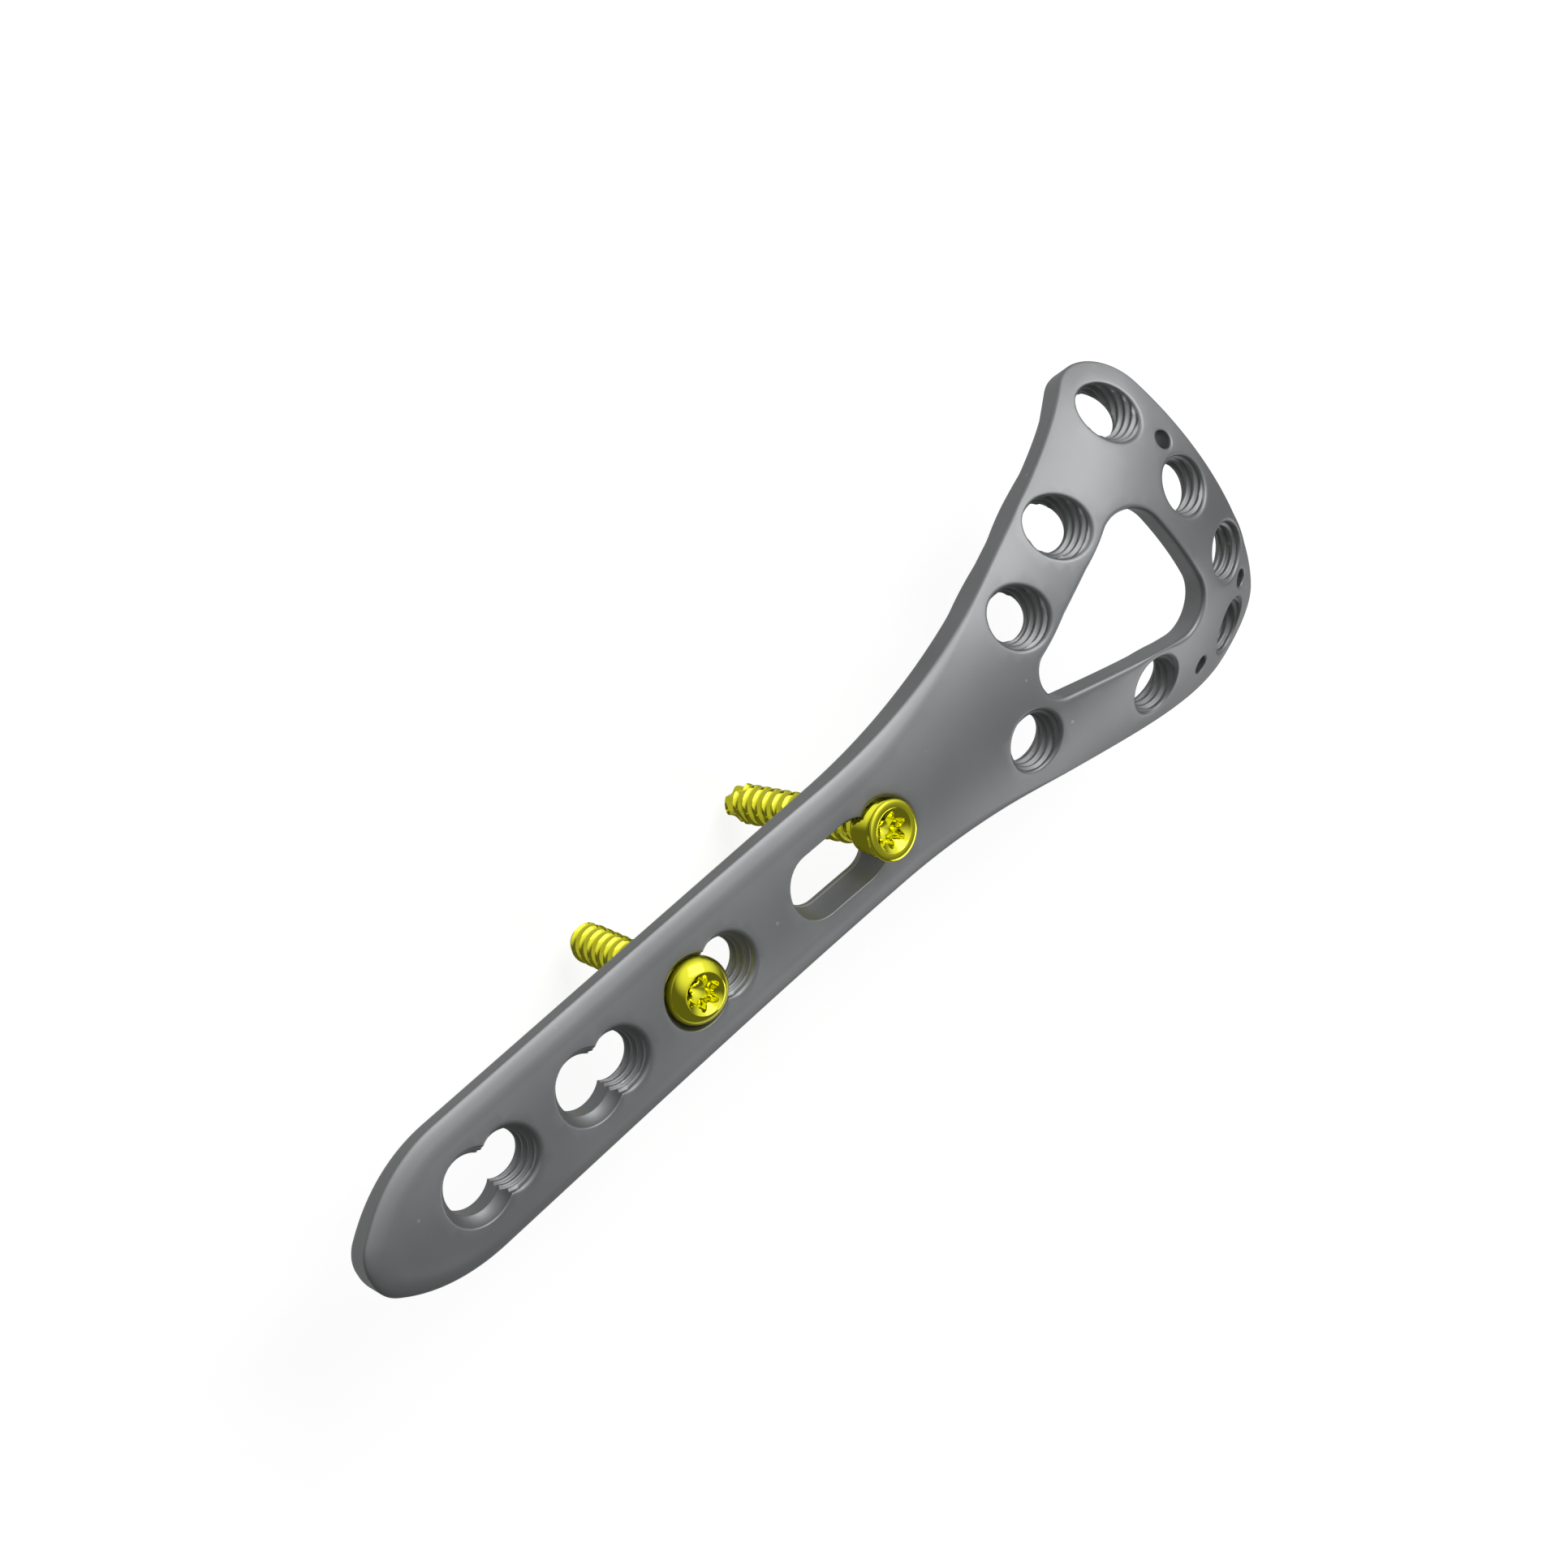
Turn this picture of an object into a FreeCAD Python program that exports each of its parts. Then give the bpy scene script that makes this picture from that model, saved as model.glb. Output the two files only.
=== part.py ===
import FreeCAD, Part
import math
import os
import Sketcher

Vector = FreeCAD.Vector

# Driving dimensions, millimetres and degrees
# Stations along the plate run from the tip, X = 0, to the far edge of the head
SIZES = {
    # spacing of the slab's cross-sections
    "sectionFirst": -6.0, "sectionPitch": 14.5,
    # side walls of the shaft
    "shaftHalfLeft": 6.25, "shaftHalfRight": 6.3, "waistHalfRight": 5.55,
    # bullet nose
    "noseCornerY": 1.75, "noseRadius": 3.4, "shoulderX": 5.7, "shoulderRadius": 15.0,
    # flare from the shaft into the head
    "neckLeftX": 67.9, "neckLeftRadius": 50.0, "neckRightX": 65.6, "neckRightRadius": 60.0,
    # head corners, before rounding
    "headLeftX": 102.0, "headLeftY": 21.2, "headLeftRadius": 4.0,
    "headRightX": 106.2, "headRightY": -15.5, "headRightRadius": 4.8,
    # combination holes: a threaded circle and a dished circle that overlap
    "combiCount": 3, "combiFirstX": 14.7, "combiPitch": 12.3, "combiOffset": 3.4,
    "dishRadius": 3.35, "dishSphere": 3.6, "dishBore": 2.1,
    # elongated hole with a threaded round end
    "slotTipX": 50.2, "slotRoundX": 58.0, "slotHalfWidth": 3.0, "slotThroughHalf": 2.2, "slotStepDepth": 1.1,
    # threaded locking holes and wire holes
    "lockBore": 2.5, "lockRimWidth": 0.45, "lockRimDepth": 0.5,
    "wireBore": 0.85, "wireRimWidth": 0.45, "wireRimDepth": 0.45,
    # corners of the three-sided window, before rounding
    "windowTipX": 72.7, "windowTipY": 0.3, "windowTipRadius": 2.5,
    "windowRightX": 98.1, "windowRightY": -6.3, "windowRightRadius": 3.2,
    "windowLeftX": 94.3, "windowLeftY": 10.5, "windowLeftRadius": 3.6,
    # locking screw
    "lockHeadRadius": 2.7, "lockHeadFoot": 2.3, "lockHeadHeight": 2.6, "lockRimHeight": 0.45, "lockRimStep": 0.12,
    "lockScrewLength": 20.5, "lockLean": 4.0,
    # cortical screw
    "domeRadius": 2.95, "domeHeight": 1.15, "domeBand": 0.5,
    "corticalLength": 19.0, "corticalLean": -3.0,
    # thread and driver recess shared by both screws
    "threadRadius": 1.75, "coreRadius": 1.25, "threadPitch": 1.25, "crestWidth": 0.15,
    "pointLength": 1.6, "pointRadius": 0.5, "neckRadius": 1.45, "neckDrop": 0.4,
    "recessCore": 1.2, "recessLobe": 0.34, "recessReach": 1.3, "recessDepth": 1.5,
    # clearance between a screw and its seat
    "seatGap": 0.03,
    # vertical reach of cutting tools, and half the span over which a slope is measured
    "toolReach": 20.0, "slopeStep": 0.5,
}

# Cross-sections of the slab, evenly spaced from behind the tip to beyond the head
# Crown height, crown radius, crown shift to +Y, half width, thickness
SECTIONS = {
    "behindTip": (0.0, 23.0, 0.0, 9.0, 3.0),
    "tipSpan": (0.0, 23.0, 0.0, 9.0, 3.0),
    "shaftSpan": (0.0, 23.0, 0.0, 9.0, 3.0),
    "slotSpan": (0.05, 23.0, 0.0, 9.0, 3.0),
    "waistSpan": (0.4, 22.5, 0.0, 9.5, 3.0),
    "flareSpan": (1.2, 20.5, 0.0, 11.5, 2.9),
    "windowSpan": (2.4, 20.5, 0.3, 15.5, 2.7),
    "headSpan": (2.85, 22.7, 1.4, 19.0, 2.6),
    "beyondHead": (-1.7, 23.0, 2.0, 20.0, 2.6),
}
SECTION_SIZES = ("Crown", "Radius", "Shift", "Half", "Thick")

# Head holes: station, offset to +Y, lean of the axis to +X and to +Y in degrees
LOCKING_HOLES = {
    "collar": (74.7, -3.0, 0.0, 0.0),
    "flankLeft": (78.9, 7.1, 6.0, 3.0),
    "midLeft": (86.9, 11.0, 7.0, 4.0),
    "flankRight": (88.7, -7.2, -3.0, -4.0),
    "cornerLeft": (98.5, 15.0, 11.0, 6.0),
    "edgeLeft": (100.3, 6.3, 9.0, 4.0),
    "edgeMid": (102.0, -2.1, 12.0, -4.0),
    "cornerRight": (100.9, -9.9, 10.0, -10.0),
}
WIRE_HOLES = {
    "wireLeft": (101.2, 10.5, 11.0, 6.0),
    "wireRight": (103.4, -6.2, 12.0, -6.0),
    "wireFlank": (95.2, -10.0, 4.0, -8.0),
}
HOLE_SIZES = ("X", "Y", "LeanX", "LeanY")

doc = FreeCAD.newDocument("BonePlate")


def make_sheet():
    cells = dict(SIZES)
    for table, names in ((SECTIONS, SECTION_SIZES), (LOCKING_HOLES, HOLE_SIZES), (WIRE_HOLES, HOLE_SIZES)):
        for item, values in table.items():
            for name, value in zip(names, values):
                cells[item + name] = value
    sheet = doc.addObject("Spreadsheet::Sheet", "Sizes")
    for row, (alias, value) in enumerate(cells.items(), start=1):
        sheet.set("A%d" % row, alias)
        sheet.set("B%d" % row, str(value))
        sheet.setAlias("B%d" % row, alias)
    doc.recompute()
    return sheet


sheet = make_sheet()


def size(alias):
    return getattr(sheet, alias)


def bind(thing, **expressions):
    for path, expression in expressions.items():
        thing.setExpression(path, expression)


# Part object of one kind, with its sizes bound to the sheet
def primitive(kind, name, **expressions):
    thing = doc.addObject(kind, name)
    bind(thing, **expressions)
    return thing


# Names one sketch constraint and binds it to the sheet
def drive(sketch, index, name, expression):
    sketch.renameConstraint(index, name)
    sketch.setExpression("Constraints." + name, expression)


# Closed outline of straight sides with a tangent arc at each corner
# Each corner is (name, x alias, y alias, radius alias), anticlockwise
def rounded_outline(sketch, corners):
    points = [Vector(value_of(x), value_of(y), 0) for _, x, y, _ in corners]
    count = len(corners)
    arcs, ends, flipped = [], [], []
    for i, corner in enumerate(corners):
        radius = value_of(corner[3])
        before = (points[i - 1] - points[i]).normalize()
        after = (points[(i + 1) % count] - points[i]).normalize()
        half = before.getAngle(after) / 2
        reach = radius / math.tan(half)
        start, finish = points[i] + before * reach, points[i] + after * reach
        centre = points[i] + (before + after).normalize() * (radius / math.sin(half))
        hollow = before.cross(after).z > 0
        first, last = (finish, start) if hollow else (start, finish)
        angles = [math.atan2(end.y - centre.y, end.x - centre.x) for end in (first, last)]
        if angles[1] < angles[0]:
            angles[1] += 2 * math.pi
        arcs.append(Part.ArcOfCircle(Part.Circle(centre, Vector(0, 0, 1), radius), *angles))
        ends.append((start, finish))
        flipped.append(hollow)
    corner_ids = [sketch.addGeometry(Part.Point(point), True) for point in points]
    line_ids = [sketch.addGeometry(Part.LineSegment(ends[i][1], ends[(i + 1) % count][0])) for i in range(count)]
    arc_ids = [sketch.addGeometry(arc) for arc in arcs]
    for i, (name, x, y, radius) in enumerate(corners):
        for line in (line_ids[i - 1], line_ids[i]):
            sketch.addConstraint(Sketcher.Constraint("PointOnObject", corner_ids[i], 1, line))
        arc_in, arc_out = (2, 1) if flipped[i] else (1, 2)
        sketch.addConstraint(Sketcher.Constraint("Tangent", line_ids[i - 1], 2, arc_ids[i], arc_in))
        sketch.addConstraint(Sketcher.Constraint("Tangent", arc_ids[i], arc_out, line_ids[i], 1))
        drive(sketch, sketch.addConstraint(Sketcher.Constraint("Radius", arc_ids[i], value_of(radius))), name + "Round", cell(radius))
        for axis, alias, value in (("X", x, points[i].x), ("Y", y, points[i].y)):
            index = sketch.addConstraint(Sketcher.Constraint("Distance" + axis, -1, 1, corner_ids[i], 1, value))
            drive(sketch, index, name + axis, cell(alias))


# A corner coordinate is an alias, an alias with a minus sign, or zero
def cell(alias):
    if alias == "0":
        return "0"
    return "-Sizes." + alias[1:] if alias.startswith("-") else "Sizes." + alias


def value_of(alias):
    if alias == "0":
        return 0.0
    return -size(alias[1:]) if alias.startswith("-") else size(alias)


# Slab with the crowned outer face and the concentric bone face
def section_sketch(place, tag):
    radius, half, thick = (size(tag + part) for part in ("Radius", "Half", "Thick"))
    sketch = doc.addObject("Sketcher::SketchObject", tag + "Section")
    sketch.Placement = FreeCAD.Placement(Vector(0, 0, 0), FreeCAD.Rotation(Vector(0, 1, 0), Vector(0, 0, 1), Vector(1, 0, 0)))
    bind(sketch, **{
        ".Placement.Base.x": "Sizes.sectionFirst + %d * Sizes.sectionPitch" % place,
        ".Placement.Base.y": "Sizes.%sShift" % tag,
        ".Placement.Base.z": "Sizes.%sCrown - Sizes.%sRadius" % (tag, tag),
    })
    swing = math.asin(half / radius)
    inner = radius - thick
    low, high = math.pi / 2 - swing, math.pi / 2 + swing
    centre, normal = Vector(0, 0, 0), Vector(0, 0, 1)
    outer_arc = sketch.addGeometry(Part.ArcOfCircle(Part.Circle(centre, normal, radius), low, high))
    inner_arc = sketch.addGeometry(Part.ArcOfCircle(Part.Circle(centre, normal, inner), low, high))
    outer, inside = sketch.Geometry[outer_arc], sketch.Geometry[inner_arc]
    right = sketch.addGeometry(Part.LineSegment(outer.StartPoint, inside.StartPoint))
    left = sketch.addGeometry(Part.LineSegment(outer.EndPoint, inside.EndPoint))
    for arc in (outer_arc, inner_arc):
        sketch.addConstraint(Sketcher.Constraint("Coincident", arc, 3, -1, 1))
    for line, end in ((right, 1), (left, 2)):
        sketch.addConstraint(Sketcher.Constraint("Coincident", line, 1, outer_arc, end))
        sketch.addConstraint(Sketcher.Constraint("Coincident", line, 2, inner_arc, end))
        sketch.addConstraint(Sketcher.Constraint("PointOnObject", -1, 1, line))
    sketch.addConstraint(Sketcher.Constraint("Symmetric", outer_arc, 1, outer_arc, 2, -2))
    drive(sketch, sketch.addConstraint(Sketcher.Constraint("Radius", outer_arc, radius)), "crown", "Sizes.%sRadius" % tag)
    drive(sketch, sketch.addConstraint(Sketcher.Constraint("Radius", inner_arc, inner)), "bone",
          "Sizes.%sRadius - Sizes.%sThick" % (tag, tag))
    drive(sketch, sketch.addConstraint(Sketcher.Constraint("DistanceX", -1, 1, outer_arc, 1, half)), "half", "Sizes.%sHalf" % tag)
    return sketch


def make_slab():
    slab = doc.addObject("Part::Loft", "Slab")
    slab.Sections = [section_sketch(place, tag) for place, tag in enumerate(SECTIONS)]
    slab.Solid = True
    slab.Ruled = False
    doc.recompute()
    return slab


# Upright prism on a rounded outline, tall enough to pass through the slab
def prism(name, corners):
    sketch = doc.addObject("Sketcher::SketchObject", name + "Sketch")
    rounded_outline(sketch, corners)
    block = primitive("Part::Extrusion", name, LengthFwd="Sizes.toolReach", LengthRev="Sizes.toolReach")
    block.Base = sketch
    block.DirMode = "Normal"
    block.Solid = True
    return block


def plate_outline():
    return prism("Outline", (
        ("tipRight", "0", "-noseCornerY", "noseRadius"),
        ("shoulderRight", "shoulderX", "-shaftHalfRight", "shoulderRadius"),
        ("neckRight", "neckRightX", "-waistHalfRight", "neckRightRadius"),
        ("headRight", "headRightX", "headRightY", "headRightRadius"),
        ("headLeft", "headLeftX", "headLeftY", "headLeftRadius"),
        ("neckLeft", "neckLeftX", "shaftHalfLeft", "neckLeftRadius"),
        ("shoulderLeft", "shoulderX", "shaftHalfLeft", "shoulderRadius"),
        ("tipLeft", "0", "noseCornerY", "noseRadius"),
    ))


def window_tool():
    return prism("Window", (
        ("windowTip", "windowTipX", "windowTipY", "windowTipRadius"),
        ("windowRight", "windowRightX", "windowRightY", "windowRightRadius"),
        ("windowLeft", "windowLeftX", "windowLeftY", "windowLeftRadius"),
    ))


# Height of the crowned face above a point of the plan
def face_height(slab, x, y):
    reach = size("toolReach")
    line = Part.makeLine(Vector(x, y, -reach), Vector(x, y, reach))
    return slab.Shape.common(line).BoundBox.ZMax


# Outward normal of the crowned face, from its slope over a short step
def face_normal(slab, x, y):
    step = size("slopeStep")
    rise_x = face_height(slab, x + step, y) - face_height(slab, x - step, y)
    rise_y = face_height(slab, x, y + step) - face_height(slab, x, y - step)
    return Vector(-rise_x, -rise_y, 2 * step).normalize()


# Axis placement of a hole whose Z axis leaves the crowned face
def hole_placement(slab, x, y, lean_x, lean_y):
    axis = Vector(math.tan(math.radians(lean_x)), math.tan(math.radians(lean_y)), 1)
    return FreeCAD.Placement(Vector(x, y, face_height(slab, x, y)), FreeCAD.Rotation(Vector(0, 0, 1), axis))


def along(place, distance):
    return place.multiply(FreeCAD.Placement(Vector(0, 0, distance), FreeCAD.Rotation()))


# Leaning bore, and a conical rim square to the crowned face that takes in its slanted mouth
def hole_tools(name, slab, place, bore, width, depth):
    cylinder = primitive("Part::Cylinder", name + "Bore", Radius="Sizes." + bore, Height="2 * Sizes.toolReach")
    cylinder.Placement = along(place, -size("toolReach"))
    normal = face_normal(slab, place.Base.x, place.Base.y)
    slant = math.degrees(normal.getAngle(place.Rotation.multVec(Vector(0, 0, 1))))
    mouth = "Sizes.%s / cos(%.3f deg)" % (bore, slant)
    rim = primitive("Part::Cone", name + "Rim",
                    Radius1="%s - Sizes.%s" % (mouth, width),
                    Radius2="%s + 3 * Sizes.%s" % (mouth, width),
                    Height="4 * Sizes.%s" % depth)
    rim.Placement = along(FreeCAD.Placement(place.Base, FreeCAD.Rotation(Vector(0, 0, 1), normal)), -2 * size(depth))
    return [cylinder, rim]


# Dish for the round underside of a cortical screw head
def dish_tools(name, place):
    sink = math.sqrt(size("dishSphere") ** 2 - size("dishRadius") ** 2)
    ball = primitive("Part::Sphere", name + "Dish", Radius="Sizes.dishSphere")
    ball.Placement = along(place, sink)
    bore = primitive("Part::Cylinder", name + "DishBore", Radius="Sizes.dishBore", Height="2 * Sizes.toolReach")
    bore.Placement = along(place, -size("toolReach"))
    return [ball, bore]


# Straight channel between two stations on the centre line, with its round tip end
def channel_tools(name, slab, half, floor_drop):
    tip, end = size("slotTipX"), size("slotRoundX")
    top = face_height(slab, tip, 0)
    floor = -size("toolReach") if floor_drop is None else top - floor_drop
    height = size("toolReach") - floor
    box = primitive("Part::Box", name + "Channel", Length="Sizes.slotRoundX - Sizes.slotTipX", Width="2 * Sizes." + half)
    box.Height = height
    box.Placement = FreeCAD.Placement(Vector(tip, -size(half), floor), FreeCAD.Rotation())
    nose = primitive("Part::Cylinder", name + "End", Radius="Sizes." + half)
    nose.Height = height
    nose.Placement = FreeCAD.Placement(Vector(tip, 0, floor), FreeCAD.Rotation())
    return [box, nose]


def fuse(name, tools):
    joined = doc.addObject("Part::MultiFuse", name)
    joined.Shapes = tools
    return joined


def cut(name, base, tool):
    result = doc.addObject("Part::Cut", name)
    result.Base, result.Tool = base, tool
    return result


# Stations of the threaded circles of the combination holes, counted from the tip
def combi_stations():
    return [size("combiFirstX") + i * size("combiPitch") for i in range(size("combiCount"))]


def table_place(slab, tag):
    return hole_placement(slab, *(size(tag + name) for name in HOLE_SIZES))


def slot_place(slab):
    return hole_placement(slab, size("slotRoundX"), 0, size("lockLean"), 0)


def dish_place(slab, threaded_x):
    return hole_placement(slab, threaded_x - size("combiOffset"), 0, 0, 0)


def plate_tools(slab):
    tools = [window_tool()]
    for tag in LOCKING_HOLES:
        tools += hole_tools(tag, slab, table_place(slab, tag), "lockBore", "lockRimWidth", "lockRimDepth")
    for tag in WIRE_HOLES:
        tools += hole_tools(tag, slab, table_place(slab, tag), "wireBore", "wireRimWidth", "wireRimDepth")
    for number, x in enumerate(combi_stations(), start=1):
        tools += hole_tools("combi%d" % number, slab, hole_placement(slab, x, 0, 0, 0), "lockBore", "lockRimWidth", "lockRimDepth")
        tools += dish_tools("combi%d" % number, dish_place(slab, x))
    tools += hole_tools("slotRound", slab, slot_place(slab), "lockBore", "lockRimWidth", "lockRimDepth")
    tools += channel_tools("slotWide", slab, "slotHalfWidth", size("slotStepDepth"))
    tools += channel_tools("slotThrough", slab, "slotThroughHalf", None)
    return tools


# Puts a finished piece in the frame whose origin is the axis of the collar hole
def seat(thing):
    bind(thing, **{".Placement.Base.x": "-Sizes.collarX", ".Placement.Base.y": "-Sizes.collarY"})


def make_plate(slab):
    blank = doc.addObject("Part::Common", "Blank")
    blank.Base, blank.Tool = slab, plate_outline()
    plate = cut("Plate", blank, fuse("PlateTools", plate_tools(slab)))
    plate.Label = "bone_plate"
    seat(plate)
    doc.recompute()
    return plate


def origin_plane(body, role):
    return next(item for item in body.Origin.OriginFeatures if item.Role == role)


def body_sketch(body, name, role):
    sketch = body.newObject("Sketcher::SketchObject", name)
    sketch.AttachmentSupport = [(origin_plane(body, role), "")]
    sketch.MapMode = "FlatFace"
    return sketch


# Closed profile of straight sides, each corner placed by two expressions of the sheet
def profile(sketch, corners):
    places = [Vector(sketch.evalExpression(x), sketch.evalExpression(y), 0) for x, y in corners]
    count = len(places)
    lines = [sketch.addGeometry(Part.LineSegment(places[i], places[(i + 1) % count])) for i in range(count)]
    for i in range(count):
        sketch.addConstraint(Sketcher.Constraint("Coincident", lines[i - 1], 2, lines[i], 1))
        for axis, expression, value in (("X", corners[i][0], places[i].x), ("Y", corners[i][1], places[i].y)):
            index = sketch.addConstraint(Sketcher.Constraint("Distance" + axis, -1, 1, lines[i], 1, value))
            drive(sketch, index, "corner%d%s" % (i, axis), expression)
    return lines


def circle(sketch, name, x, radius):
    reach, value = sketch.evalExpression(x), sketch.evalExpression(radius)
    ring = sketch.addGeometry(Part.Circle(Vector(reach, 0, 0), Vector(0, 0, 1), value))
    drive(sketch, sketch.addConstraint(Sketcher.Constraint("Radius", ring, value)), name, radius)
    sketch.addConstraint(Sketcher.Constraint("PointOnObject", ring, 3, -1))
    if x == "0":
        sketch.addConstraint(Sketcher.Constraint("PointOnObject", ring, 3, -2))
    else:
        drive(sketch, sketch.addConstraint(Sketcher.Constraint("DistanceX", -1, 1, ring, 3, reach)), name + "Reach", x)
    return ring


def revolve(body, kind, name, sketch):
    feature = body.newObject("PartDesign::" + kind, name)
    feature.Profile = sketch
    feature.ReferenceAxis = (sketch, ["V_Axis"])
    feature.Angle = 360
    doc.recompute()
    return feature


# Six-lobed driver recess sunk from the top of the head
def recess(body, tag, top):
    features = []
    for name, x, radius in (("Core", "0", "Sizes.recessCore"), ("Lobe", "Sizes.recessReach", "Sizes.recessLobe")):
        sketch = body_sketch(body, tag + name + "Sketch", "XY_Plane")
        bind(sketch, **{"AttachmentOffset.Base.z": top})
        circle(sketch, "ring", x, radius)
        pocket = body.newObject("PartDesign::Pocket", tag + name)
        pocket.Profile = sketch
        bind(pocket, Length="Sizes.recessDepth")
        doc.recompute()
        features.append(pocket)
    lobes = body.newObject("PartDesign::PolarPattern", tag + "Lobes")
    lobes.Originals = [features[1]]
    lobes.Axis = (features[1].Profile[0], ["N_Axis"])
    lobes.Angle = 360
    lobes.Occurrences = 6
    body.Tip = lobes
    doc.recompute()


# Rings of the thread, cut as one groove repeated along the shank
def thread(body, tag, top, length):
    sketch = body_sketch(body, tag + "GrooveSketch", "XZ_Plane")
    half = "(Sizes.threadPitch - Sizes.crestWidth) / 2"
    outer = "Sizes.threadRadius + Sizes.crestWidth"
    profile(sketch, (
        ("Sizes.coreRadius", "%s - %s * 0.8" % (top, half)),
        ("Sizes.coreRadius", "%s - %s * 1.2" % (top, half)),
        (outer, "%s - 2 * %s" % (top, half)),
        (outer, top),
    ))
    groove = revolve(body, "Groove", tag + "Groove", sketch)
    turns = int((sketch.evalExpression(length)) / size("threadPitch"))
    rows = body.newObject("PartDesign::LinearPattern", tag + "Thread")
    rows.Originals = [groove]
    rows.Direction = (sketch, ["V_Axis"])
    rows.Reversed = True
    bind(rows, Length="%d * Sizes.threadPitch" % (turns - 1))
    rows.Occurrences = turns
    body.Tip = rows
    doc.recompute()


# Locking screw: its local Z = 0 is where the tapered head meets the bore
def make_locking_screw(slab):
    body = doc.addObject("PartDesign::Body", "LockingScrew")
    body.Label = "locking_screw"
    taper = "((Sizes.lockHeadRadius - Sizes.lockRimStep - Sizes.lockHeadFoot) / Sizes.lockHeadHeight)"
    foot = "-(Sizes.lockBore - Sizes.seatGap - Sizes.lockHeadFoot) / %s" % taper
    crown = "%s + Sizes.lockHeadHeight" % foot
    top = "%s + Sizes.lockRimHeight" % crown
    neck = "%s - Sizes.neckDrop" % foot
    end = "%s - Sizes.lockScrewLength" % top
    sketch = body_sketch(body, "LockingProfile", "XZ_Plane")
    profile(sketch, (
        ("0", top),
        ("Sizes.lockHeadRadius - Sizes.lockRimStep", top),
        ("Sizes.lockHeadRadius", "%s - Sizes.lockRimStep" % top),
        ("Sizes.lockHeadRadius", crown),
        ("Sizes.lockHeadRadius - Sizes.lockRimStep", crown),
        ("Sizes.lockHeadFoot", foot),
        ("Sizes.neckRadius", neck),
        ("Sizes.neckRadius", "%s - Sizes.neckDrop" % neck),
        ("Sizes.threadRadius", "%s - 2 * Sizes.neckDrop" % neck),
        ("Sizes.threadRadius", "%s + Sizes.pointLength" % end),
        ("Sizes.pointRadius", end),
        ("0", end),
    ))
    revolve(body, "Revolution", "LockingBlank", sketch)
    thread(body, "locking", "%s - 2.5 * Sizes.neckDrop" % neck,
           "Sizes.lockScrewLength - Sizes.lockHeadHeight - Sizes.lockRimHeight - 3.5 * Sizes.neckDrop")
    recess(body, "locking", top)
    place = along(slot_place(slab), -size("lockRimDepth"))
    body.Placement = FreeCAD.Placement(place.Base - Vector(size("collarX"), size("collarY"), 0), place.Rotation)
    return body


# Rounds the highest edge of a turned head into a dome
def round_crown(body, blank):
    rims = [(edge.BoundBox.ZMin, number) for number, edge in enumerate(blank.Shape.Edges, start=1) if edge.BoundBox.XLength > size("domeRadius")]
    dome = body.newObject("PartDesign::Fillet", "CorticalDome")
    dome.Base = (blank, ["Edge%d" % max(rims)[1]])
    bind(dome, Radius="Sizes.domeHeight")
    body.Tip = dome
    doc.recompute()


# Cortical screw: its local Z = 0 is the crowned face at the middle of the dish
def make_cortical_screw(slab):
    body = doc.addObject("PartDesign::Body", "CorticalScrew")
    body.Label = "cortical_screw"
    sink = "sqrt(Sizes.dishSphere ^ 2 - Sizes.dishRadius ^ 2)"
    ball = "(Sizes.dishSphere - Sizes.seatGap)"
    under = "%s - sqrt(%s ^ 2 - Sizes.domeRadius ^ 2)" % (sink, ball)
    neck = "%s - sqrt(%s ^ 2 - Sizes.threadRadius ^ 2)" % (sink, ball)
    top = "%s + Sizes.domeBand + Sizes.domeHeight" % under
    end = "%s - Sizes.corticalLength" % top
    sketch = body_sketch(body, "CorticalProfile", "XZ_Plane")
    lines = profile(sketch, (
        ("0", top),
        ("Sizes.domeRadius", top),
        ("Sizes.domeRadius", under),
        ("Sizes.threadRadius", neck),
        ("Sizes.threadRadius", "%s + Sizes.pointLength" % end),
        ("Sizes.pointRadius", end),
        ("0", end),
    ))
    round_crown(body, revolve(body, "Revolution", "CorticalBlank", sketch))
    thread(body, "cortical", "%s - Sizes.neckDrop" % neck, "Sizes.corticalLength - 4 * Sizes.domeHeight")
    recess(body, "cortical", top)
    place = dish_place(slab, combi_stations()[-1])
    place = FreeCAD.Placement(place.Base - Vector(size("collarX"), size("collarY"), 0), place.Rotation)
    lean = FreeCAD.Rotation(Vector(0, 1, 0), size("corticalLean"))
    pivot = Vector(0, 0, math.sqrt(size("dishSphere") ** 2 - size("dishRadius") ** 2))
    body.Placement = place.multiply(FreeCAD.Placement(Vector(0, 0, 0), lean, pivot))
    return body


def check(pieces):
    broken = [thing.Name for thing in doc.Objects if {"Invalid", "Error"} & set(thing.State)]
    broken += [piece.Label for piece in pieces if piece.Shape.isNull() or not piece.Shape.isValid() or len(piece.Shape.Solids) != 1]
    if broken:
        raise RuntimeError("failed objects: " + ", ".join(broken))


slab = make_slab()
pieces = [make_plate(slab), make_locking_screw(slab), make_cortical_screw(slab)]
doc.recompute()
check(pieces)
os.makedirs("parts", exist_ok=True)
for piece in pieces:
    piece.Shape.exportStep("parts/%s.step" % piece.Label)
    print(piece.Label, round(piece.Shape.Volume, 1), "mm3")
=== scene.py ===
import math

import bmesh
import bpy
from mathutils import Matrix, Vector


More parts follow.
